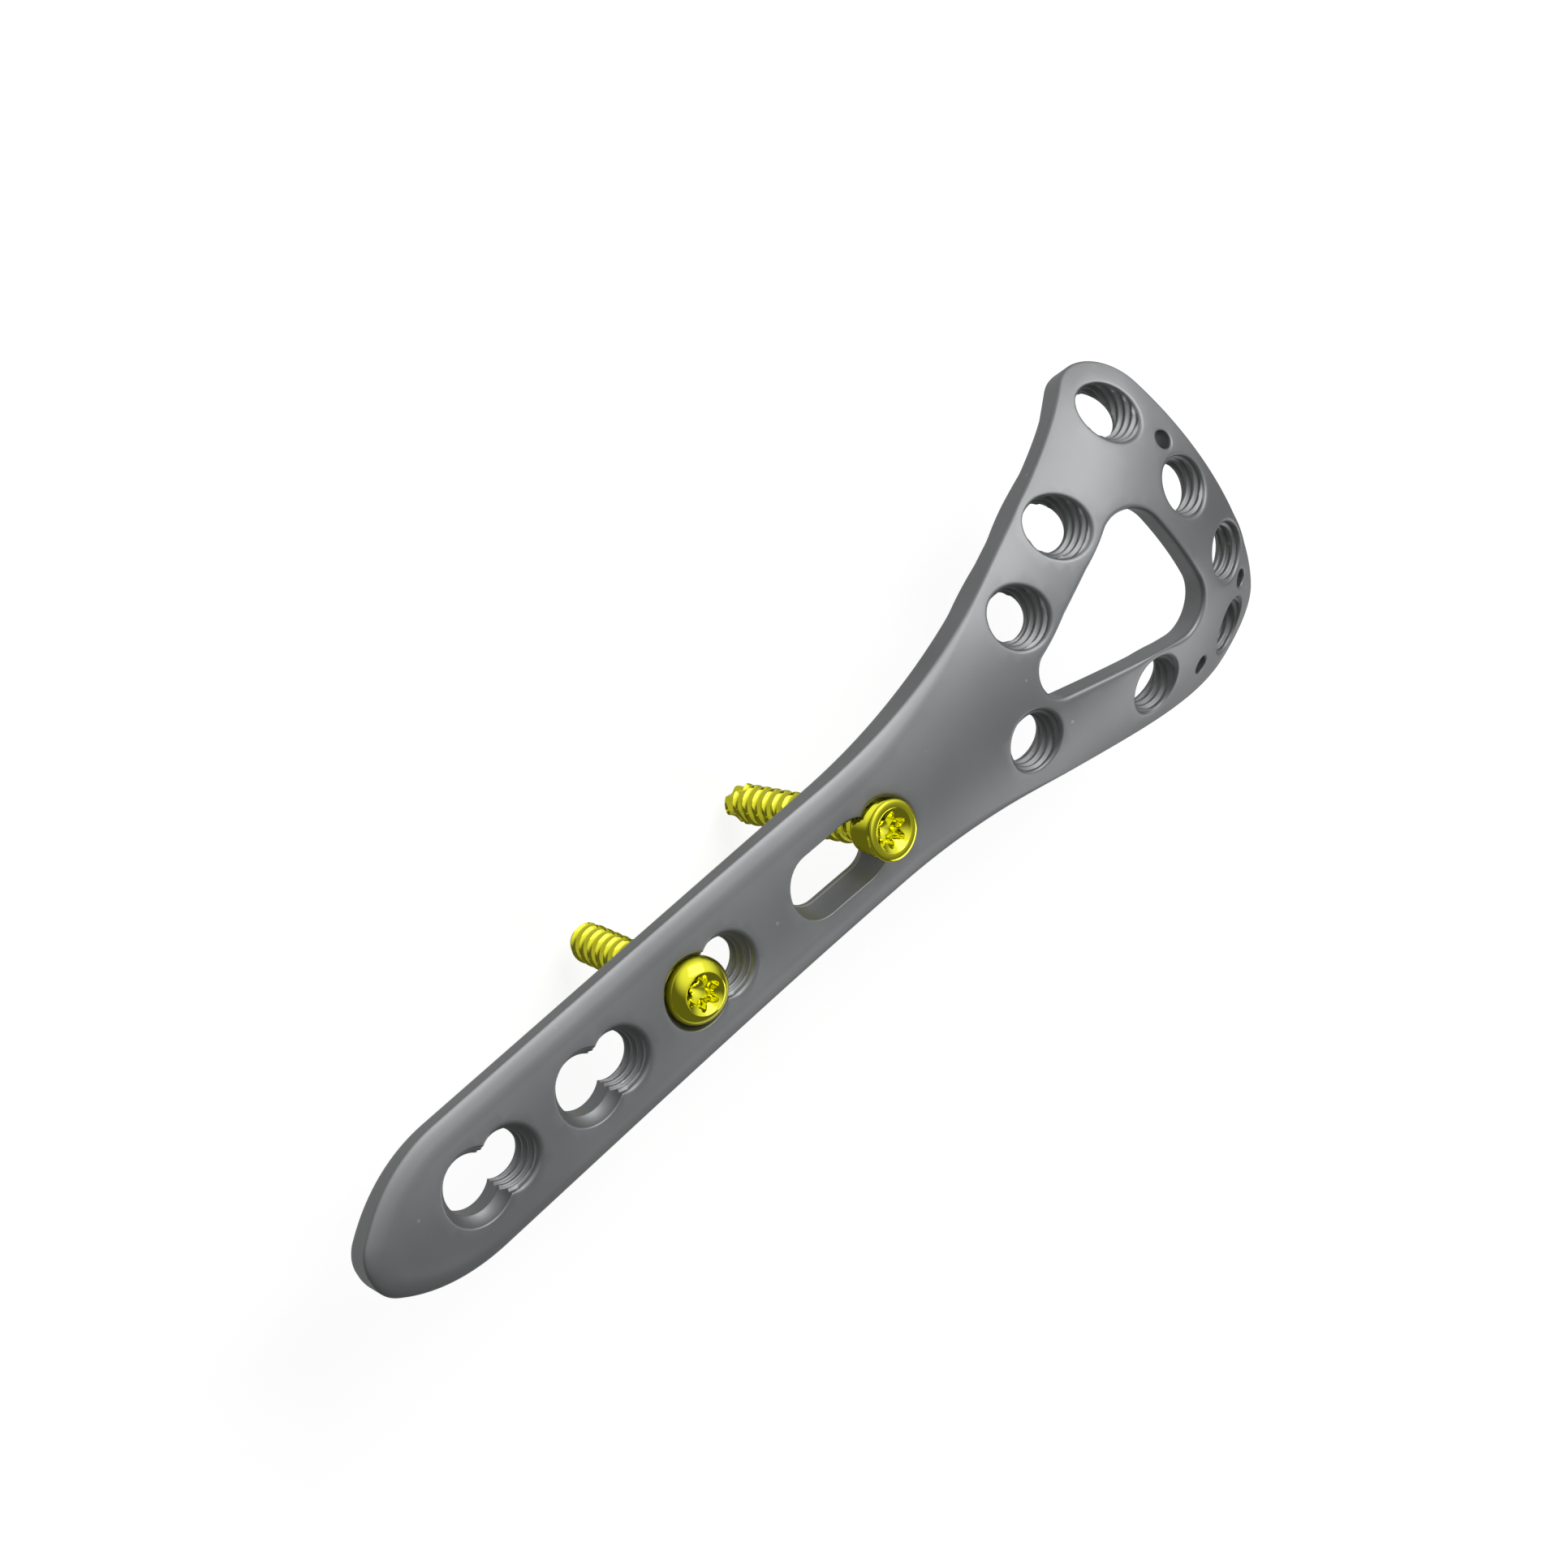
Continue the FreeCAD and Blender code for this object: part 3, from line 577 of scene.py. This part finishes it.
# Rows of the recess, from the middle of its floor up to the mouth's rim
def recessRows(topZ, mouth):
    form = screwForm
    floor = topZ - form["recessDepth"]
    lip, lipZ = mouth - form["lip"], topZ - form["lipDrop"]
    rows = [circleRow(radius, floor - depth) for radius, depth in form["floorRings"]]
    for inset, height in form["starRings"]:
        row = []
        for a in screwAngles:
            r = starRadius(a) - inset
            row.append(Vector((r * math.cos(a), r * math.sin(a), floor + height)))
        rows.append(row)
    for share in (0.0, 0.35, 0.7):         # conical mouth, cut by the star
        row = []
        for a in screwAngles:
            r = starRadius(a) + (lip - starRadius(a)) * share
            row.append(Vector((r * math.cos(a), r * math.sin(a), lipZ - form["mouthSlope"] * (lip - r))))
        rows.append(row)
    return rows + [circleRow(lip, lipZ), circleRow(mouth - 0.02, topZ - 0.01)]


# Thread wound as one strip: the grid's columns climb along the helix, so the strip meets itself one turn on
def windThread(name, pitch, steps, topZ, endZ, radiusAt):
    deselect()
    count = screwForm["segments"]
    turns = math.ceil((topZ - endZ) / pitch) + 3
    last = turns * len(steps)
    bpy.ops.mesh.primitive_grid_add(x_subdivisions=count, y_subdivisions=last, size=1, location=(0, 0, 0))
    thing = bpy.context.object
    thing.name = name
    for vert in thing.data.vertices:
        column, row = round((vert.co.x + 0.5) * count), round((vert.co.y + 0.5) * last)
        angle = 2 * math.pi * column / count
        turn, step = divmod(row, len(steps))
        z = topZ + pitch * (1 - turn - steps[step] + column / count)
        radius = radiusAt(z, steps[step], angle)
        vert.co = (radius * math.cos(angle), radius * math.sin(angle), z)
    bpy.ops.object.mode_set(mode="EDIT")
    bpy.ops.mesh.select_all(action="SELECT")
    bpy.ops.mesh.remove_doubles(threshold=0.0005)
    bpy.ops.mesh.select_all(action="SELECT")
    bpy.ops.mesh.bisect(plane_co=(0, 0, topZ), plane_no=(0, 0, 1), clear_outer=True)
    bpy.ops.mesh.select_all(action="SELECT")
    bpy.ops.mesh.bisect(plane_co=(0, 0, endZ), plane_no=(0, 0, 1), clear_inner=True)
    bpy.ops.object.mode_set(mode="OBJECT")
    return thing


# Three cutting flutes at the point: what they take off the radius
def fluteBite(z, angle, endZ, depth):
    form = screwForm
    run = min(max((z - endZ) / form["fluteLength"], 0.0), 1.0)
    turn = (angle + form["fluteTwist"] * z) % (2 * math.pi / 3) - math.pi / 3
    return depth * max(0.0, 1 - (turn / form["fluteHalf"]) ** 2) * (1 - run ** 3)


# Radius of the threaded shank, where step is the fraction of the pitch from the crest
def shankRadius(z, step, angle, endZ, neckZ, fluteDepth):
    form = screwForm
    t = abs(2 * ((step - form["crestShift"]) % 1.0) - 1)
    flank = form["flankHeight"] * (t / form["crestFlat"]) ** form["flankPower"]
    crest = 1.0 if t >= form["crestFlat"] else flank
    # the crest grows out of the smooth neck and shrinks towards the point
    grow = min(max((neckZ - z - form["runOutStart"]) / form["runOut"], 0.0), 1.0)
    tip = min(max((z - endZ) / form["pointLength"], 0.0), 1.0)
    outer = form["pointRadius"] + (form["threadRadius"] - form["pointRadius"]) * math.sin(tip * math.pi / 2)
    core = min(form["coreRadius"] + (form["neckRadius"] - form["coreRadius"]) * (1 - grow), outer)
    return core + (outer - core) * crest * grow - fluteBite(z, angle, endZ, fluteDepth)


# Threaded shank and its blunt point, below the neck
def makeShank(neckZ, endZ, fluteDepth):
    gap = screwForm["joint"]

    def radiusAt(z, step, angle):
        return shankRadius(z, step, angle, endZ, neckZ, fluteDepth)
    shank = windThread("shankThread", screwForm["pitch"], shankSteps, neckZ - gap, endZ + gap, radiusAt)
    rows = []
    for share, drop in ((1.0, gap),) + screwForm["pointRings"]:
        row = []
        for a in screwAngles:
            radius = radiusAt(endZ, 0.5, a) * share
            row.append(Vector((radius * math.cos(a), radius * math.sin(a), endZ - drop)))
        rows.append(row)
    return [shank, rollRows("point", rows)]


# Joins the parts of one screw, bridges them at each joint, closes the two ends and sets it in its place
def screwMesh(name, parts, joints, placement):
    screw = joinAll(parts, name)
    bpy.ops.object.mode_set(mode="EDIT")
    bpy.ops.mesh.select_mode(type="EDGE")
    for level in joints:
        bpy.ops.mesh.select_all(action="DESELECT")
        for edge in bmesh.from_edit_mesh(screw.data).edges:
            near = all(abs(v.co.z - level) < 3 * screwForm["joint"] for v in edge.verts)
            edge.select_set(edge.is_boundary and near)
        bmesh.update_edit_mesh(screw.data)
        bpy.ops.mesh.bridge_edge_loops()
    for _ in range(2):
        bpy.ops.mesh.select_all(action="DESELECT")
        rest = [edge for edge in bmesh.from_edit_mesh(screw.data).edges if edge.is_boundary]
        highest = max(edge.verts[0].co.z for edge in rest)
        for edge in rest:
            edge.select_set(abs(edge.verts[0].co.z - highest) < 0.1)
        bmesh.update_edit_mesh(screw.data)
        bpy.ops.mesh.edge_face_add()
    bpy.ops.mesh.select_all(action="SELECT")
    bpy.ops.mesh.normals_make_consistent(inside=False)
    bpy.ops.object.mode_set(mode="OBJECT")
    screw.data.transform(placement @ Matrix.Scale(mm, 4))
    bpy.ops.object.shade_smooth_by_angle(angle=math.radians(42))
    return screw


# Where a screw's axis meets the outer face, on the shaft's middle line
def seatAt(x):
    return Vector((x - plateForm["originX"], -plateForm["originY"], faceHeight(x, 0.0))) * mm


def makeLockingScrew():
    form, gap = lockingScrew, screwForm["joint"]
    underRim = form["headRadius"] - form["rimStep"]
    slope = (underRim - form["headFoot"]) / form["headHeight"]
    foot = -(lockingBore["radius"] - screwForm["clearance"] - form["headFoot"]) / slope
    crown = foot + form["headHeight"]
    top = crown + form["rimHeight"]
    neck = foot - form["neckDrop"]
    shankTop = neck - form["neckDrop"]
    end = top - form["length"] + pointDrop
    rows = recessRows(top, form["mouth"])
    rows += [circleRow(form["mouth"] + 0.04, top), circleRow(form["headRadius"] - form["rimFlat"], top)]
    for t in (0.25, 0.5, 0.75, 1.0):       # rounded rim of the head
        a, r = t * math.pi / 2, form["rimRound"]
        rows.append(circleRow(form["headRadius"] - r + r * math.sin(a), top - r + r * math.cos(a)))
    rows += [circleRow(form["headRadius"], crown + 0.1), circleRow(underRim - 0.05, crown + gap)]
    head = rollRows("lockingHead", rows)

    def headRadiusAt(z, step, angle):
        near = min(max(min(crown - z, z - foot) / form["threadFade"], 0.0), 1.0)
        return underRim - (crown - z) * slope - form["headThread"] * (1 - abs(2 * step - 1)) * near
    thread = windThread("headThread", form["headPitch"], headSteps, crown - gap, foot + gap, headRadiusAt)
    collar = rollRows("neck", [
        circleRow(form["headFoot"] - 0.04, foot - gap), circleRow(form["headFoot"] - 0.14, foot - 0.1),
        circleRow(screwForm["neckRadius"], neck - 0.1), circleRow(screwForm["neckRadius"], shankTop + gap),
    ])
    axis = Vector((math.tan(math.radians(form["lean"])), 0, 1)).normalized()
    turn = Vector((0, 0, 1)).rotation_difference(axis).to_matrix().to_4x4()
    placement = Matrix.Translation(seatAt(slotHole["roundX"]) - axis * form["sunk"] * mm) @ turn
    parts = [head, thread, collar] + makeShank(shankTop, end, form["fluteDepth"])
    return screwMesh("lockingScrewGold", parts, (crown, foot, shankTop, end), placement)


def makeCorticalScrew():
    form, gap = corticalScrew, screwForm["joint"]
    ball = combiHoles["dishSphere"] - screwForm["clearance"]
    under = dishRise - math.sqrt(ball ** 2 - form["headRadius"] ** 2)
    neck = dishRise - math.sqrt(ball ** 2 - screwForm["neckRadius"] ** 2)
    shankTop = neck - form["neckDrop"]
    top = under + form["headTall"]
    end = top - form["length"] + pointDrop
    first = math.asin((form["mouth"] + 0.03) / form["headRadius"])
    rise = (form["headTall"] - form["domeBand"]) / math.cos(first)
    rows = recessRows(top, form["mouth"])
    for k in range(form["domeRows"] + 1):
        a = first + (math.pi / 2 - first) * k / form["domeRows"]
        z = under + form["domeBand"] + rise * math.cos(a)
        rows.append(circleRow(form["headRadius"] * math.sin(a), z))
    rows.append(circleRow(form["headRadius"], under + 0.12))
    wide = form["headRadius"] - form["edgeStep"]
    for k in range(form["underRows"] + 1):           # round underside, which sits in the dish
        r = wide - (wide - screwForm["neckRadius"]) * k / form["underRows"]
        rows.append(circleRow(r, dishRise - math.sqrt(ball ** 2 - r ** 2)))
    rows.append(circleRow(screwForm["neckRadius"], shankTop + gap))
    head = rollRows("domedHead", rows)
    x = combiHoles["first"] + (combiHoles["count"] - 1) * combiHoles["pitch"] - combiHoles["offset"]
    pivot = Matrix.Translation(Vector((0, 0, dishRise)) * mm)    # leans about the middle of its round dish
    turn = Matrix.Rotation(math.radians(form["lean"]), 4, "Y")
    placement = Matrix.Translation(seatAt(x)) @ pivot @ turn @ pivot.inverted()
    parts = [head] + makeShank(shankTop, end, form["fluteDepth"])
    return screwMesh("corticalScrewGold", parts, (shankTop, end), placement)


screws = [makeLockingScrew(), makeCorticalScrew()]
for screw, node in zip(screws, ("locking_screw", "cortical_screw")):
    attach(screw, "root")
    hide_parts(node)
    print(screw.name, len(screw.data.polygons), "faces")


# One node of a material: setup holds its own settings, and the rest are values of its sockets
def addNode(tree, kind, setup=None, **values):
    node = tree.nodes.new(kind)
    for key, value in (setup or {}).items():
        setattr(node, key, value)
    for key, value in values.items():
        node.inputs[key.replace("_", " ")].default_value = value
    return node


def newMaterial(name):
    material = bpy.data.materials.new(name)
    material.use_nodes = True
    return material, material.node_tree, material.node_tree.nodes["Principled BSDF"]


titaniumLook = {
    "colour": (0.262, 0.268, 0.273), "metal": 0.82, "roughness": 0.46, "smoother": 0.05, "rougher": 0.06,
    "grainScale": 9000.0, "grainBump": 0.05, "grainDepth": 0.00002,
    "toneScale": 70.0, "toneSpread": 0.10,
    "speckScale": 260.0, "speckSize": 0.055, "speckCover": 0.35, "speckColour": (0.62, 0.62, 0.60),
}
goldLook = {
    "colour": (0.93, 0.85, 0.035), "hazeTint": (0.86, 1.0, 1.6), "hazeScale": 900.0,
    "roughness": 0.08, "smoother": 0.03, "rougher": 0.05,
}


def makeTitanium():
    look = titaniumLook
    material, tree, shader = newMaterial("satinTitanium")
    link = tree.links.new
    place = tree.nodes.new("ShaderNodeTexCoord").outputs["Object"]
    shader.inputs["Metallic"].default_value = look["metal"]
    shader.inputs["Specular IOR Level"].default_value = 0.5
    # slow drift of the blasted finish's tone
    drift = addNode(tree, "ShaderNodeTexNoise", Scale=look["toneScale"], Detail=3.0, Roughness=0.5)
    link(place, drift.inputs["Vector"])
    low, high = 1 - look["toneSpread"], 1 + look["toneSpread"]
    tone = addNode(tree, "ShaderNodeMapRange", From_Min=0.3, From_Max=0.7, To_Min=low, To_Max=high)
    link(drift.outputs["Fac"], tone.inputs["Value"])
    multiply = {"data_type": "RGBA", "blend_type": "MULTIPLY"}
    shade = addNode(tree, "ShaderNodeMix", multiply, Factor=1.0, A=(*look["colour"], 1))
    link(tone.outputs["Result"], shade.inputs["B"])
    # dust specks
    specks = addNode(tree, "ShaderNodeTexVoronoi", Scale=look["speckScale"])
    link(place, specks.inputs["Vector"])
    edge, heart = look["speckSize"], look["speckSize"] * 0.6
    cover = look["speckCover"]
    dust = addNode(tree, "ShaderNodeMapRange", From_Min=edge, From_Max=heart, To_Min=0.0, To_Max=cover)
    link(specks.outputs["Distance"], dust.inputs["Value"])
    fleck = addNode(tree, "ShaderNodeMix", {"data_type": "RGBA"}, B=(*look["speckColour"], 1))
    link(dust.outputs["Result"], fleck.inputs["Factor"])
    link(shade.outputs["Result"], fleck.inputs["A"])
    link(fleck.outputs["Result"], shader.inputs["Base Color"])
    # fine blasted grain
    grain = addNode(tree, "ShaderNodeTexNoise", Scale=look["grainScale"], Detail=2.0, Roughness=0.6)
    link(place, grain.inputs["Vector"])
    low, high = look["roughness"] - look["smoother"], look["roughness"] + look["rougher"]
    rough = addNode(tree, "ShaderNodeMapRange", To_Min=low, To_Max=high)
    link(grain.outputs["Fac"], rough.inputs["Value"])
    link(rough.outputs["Result"], shader.inputs["Roughness"])
    bump = addNode(tree, "ShaderNodeBump", Strength=look["grainBump"], Distance=look["grainDepth"])
    link(grain.outputs["Fac"], bump.inputs["Height"])
    link(bump.outputs["Normal"], shader.inputs["Normal"])
    return material


def makeGold():
    look = goldLook
    material, tree, shader = newMaterial("goldAnodised")
    link = tree.links.new
    shader.inputs["Metallic"].default_value = 1.0
    haze = addNode(tree, "ShaderNodeTexNoise", Scale=look["hazeScale"], Detail=3.0)
    link(tree.nodes.new("ShaderNodeTexCoord").outputs["Object"], haze.inputs["Vector"])
    hazed = [part * change for part, change in zip(look["colour"], look["hazeTint"])]
    tint = addNode(tree, "ShaderNodeMix", {"data_type": "RGBA"}, A=(*look["colour"], 1), B=(*hazed, 1))
    link(haze.outputs["Fac"], tint.inputs["Factor"])
    link(tint.outputs["Result"], shader.inputs["Base Color"])
    low, high = look["roughness"] - look["smoother"], look["roughness"] + look["rougher"]
    rough = addNode(tree, "ShaderNodeMapRange", To_Min=low, To_Max=high)
    link(haze.outputs["Fac"], rough.inputs["Value"])
    link(rough.outputs["Result"], shader.inputs["Roughness"])
    return material


titanium, gold = makeTitanium(), makeGold()
nodeLooks = {"bone_plate": titanium, "locking_screw": gold, "cortical_screw": gold}
solids = [(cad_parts[node], material) for node, material in nodeLooks.items()]
for thing, material in [(plate, titanium), (screws[0], gold), (screws[1], gold)] + solids:
    thing.data.materials.clear()
    thing.data.materials.append(material)
print("materials ready")

# Studio: pale floor, two soft boxes and a pale surround
studio = {
    "floorDrop": 1.5, "floorSize": 2.4, "paper": (0.9, 0.9, 0.9), "paperRoughness": 0.9,
    "paperGlow": 1.6, "glowShare": 0.5,              # seen straight on, the paper is half lit from within
    "surround": 0.24,
    "greyDot": 0.2, "whiteDot": 0.92, "greyShown": 0.12,    # the surround as metal shows it, round the key
    "keyPlace": (0.25, 0.36, 0.38), "keySize": 0.42, "keyPower": 1.5,
    "fillPlace": (0.30, -0.44, 0.22), "fillSize": 0.30, "fillPower": 0.6,
}


def makeFloor():
    low, high = cadBounds
    deselect()
    place = (0, 0, low[2] - studio["floorDrop"] * mm)
    bpy.ops.mesh.primitive_plane_add(size=studio["floorSize"], location=place)
    floor = bpy.context.object
    floor.name = "paleFloor"
    material, tree, shader = newMaterial("whitePaper")
    link = tree.links.new
    shader.inputs["Base Color"].default_value = (*studio["paper"], 1)
    shader.inputs["Roughness"].default_value = studio["paperRoughness"]
    glow = addNode(tree, "ShaderNodeEmission", Color=(1, 1, 1, 1), Strength=studio["paperGlow"])
    seen = addNode(tree, "ShaderNodeMath", {"operation": "MULTIPLY"})
    seen.inputs[1].default_value = studio["glowShare"]
    link(tree.nodes.new("ShaderNodeLightPath").outputs["Is Camera Ray"], seen.inputs[0])
    mixer = tree.nodes.new("ShaderNodeMixShader")
    link(seen.outputs["Value"], mixer.inputs["Fac"])
    link(shader.outputs["BSDF"], mixer.inputs[1])
    link(glow.outputs["Emission"], mixer.inputs[2])
    link(mixer.outputs["Shader"], tree.nodes["Material Output"].inputs["Surface"])
    floor.data.materials.append(material)


def makeSurround():
    world = bpy.data.worlds.new("paleSurround")
    bpy.context.scene.world = world
    world.use_nodes = True
    tree = world.node_tree
    link = tree.links.new
    back = tree.nodes["Background"]
    back.inputs["Color"].default_value = (1, 1, 1, 1)
    path = tree.nodes.new("ShaderNodeLightPath")
    # what the metal shows: white towards the key, greyer away from it
    toward = addNode(tree, "ShaderNodeVectorMath", {"operation": "DOT_PRODUCT"})
    toward.inputs[1].default_value = Vector(studio["keyPlace"]).normalized()
    link(tree.nodes.new("ShaderNodeTexCoord").outputs["Generated"], toward.inputs[0])
    grey, white, least = studio["greyDot"], studio["whiteDot"], studio["greyShown"]
    soft = {"interpolation_type": "SMOOTHSTEP"}
    shown = addNode(tree, "ShaderNodeMapRange", soft, From_Min=grey, From_Max=white, To_Min=least, To_Max=1.0)
    link(toward.outputs["Value"], shown.inputs["Value"])
    plain = addNode(tree, "ShaderNodeMix", A=studio["surround"])
    link(path.outputs["Is Glossy Ray"], plain.inputs["Factor"])
    link(shown.outputs["Result"], plain.inputs["B"])
    level = addNode(tree, "ShaderNodeMix", B=1.0)
    link(path.outputs["Is Camera Ray"], level.inputs["Factor"])
    link(plain.outputs["Result"], level.inputs["A"])
    link(level.outputs["Result"], back.inputs["Strength"])


def makeLamps():
    for name in ("key", "fill"):
        lamp = bpy.data.lights.new(name + "Box", "AREA")
        lamp.size = studio[name + "Size"]
        lamp.energy = studio[name + "Power"]
        box = bpy.data.objects.new(name + "Box", lamp)
        box.location = studio[name + "Place"]
        box.rotation_euler = (-Vector(box.location)).to_track_quat("-Z", "Y").to_euler()
        bpy.context.scene.collection.objects.link(box)


# Camera of the photograph: focal length in its own pixels, place and axes in the row's frame
photoView = {
    "frame": 1932, "focal": 3926.0, "sensor": 36.0, "place": (-129.3, 134.8, 206.1),
    "right": (0.689, -0.409, 0.598), "up": (0.601, 0.784, -0.155),
}


def makeCamera():
    data = bpy.data.cameras.new("photoCamera")
    data.sensor_width = photoView["sensor"]
    data.lens = photoView["sensor"] * photoView["focal"] / photoView["frame"]
    data.clip_start, data.clip_end = 0.01, 20.0
    camera = bpy.data.objects.new("photoCamera", data)
    right = Vector(photoView["right"]).normalized()
    up = Vector(photoView["up"])
    up = (up - right * up.dot(right)).normalized()
    back = right.cross(up)
    turn = Matrix((right, up, back)).transposed().to_4x4()
    camera.matrix_world = Matrix.Translation(Vector(photoView["place"]) * mm) @ turn
    bpy.context.scene.collection.objects.link(camera)
    bpy.context.scene.camera = camera


makeFloor()
makeSurround()
makeLamps()
makeCamera()
bpy.context.scene.view_settings.view_transform = "Standard"
print("studio and camera ready")
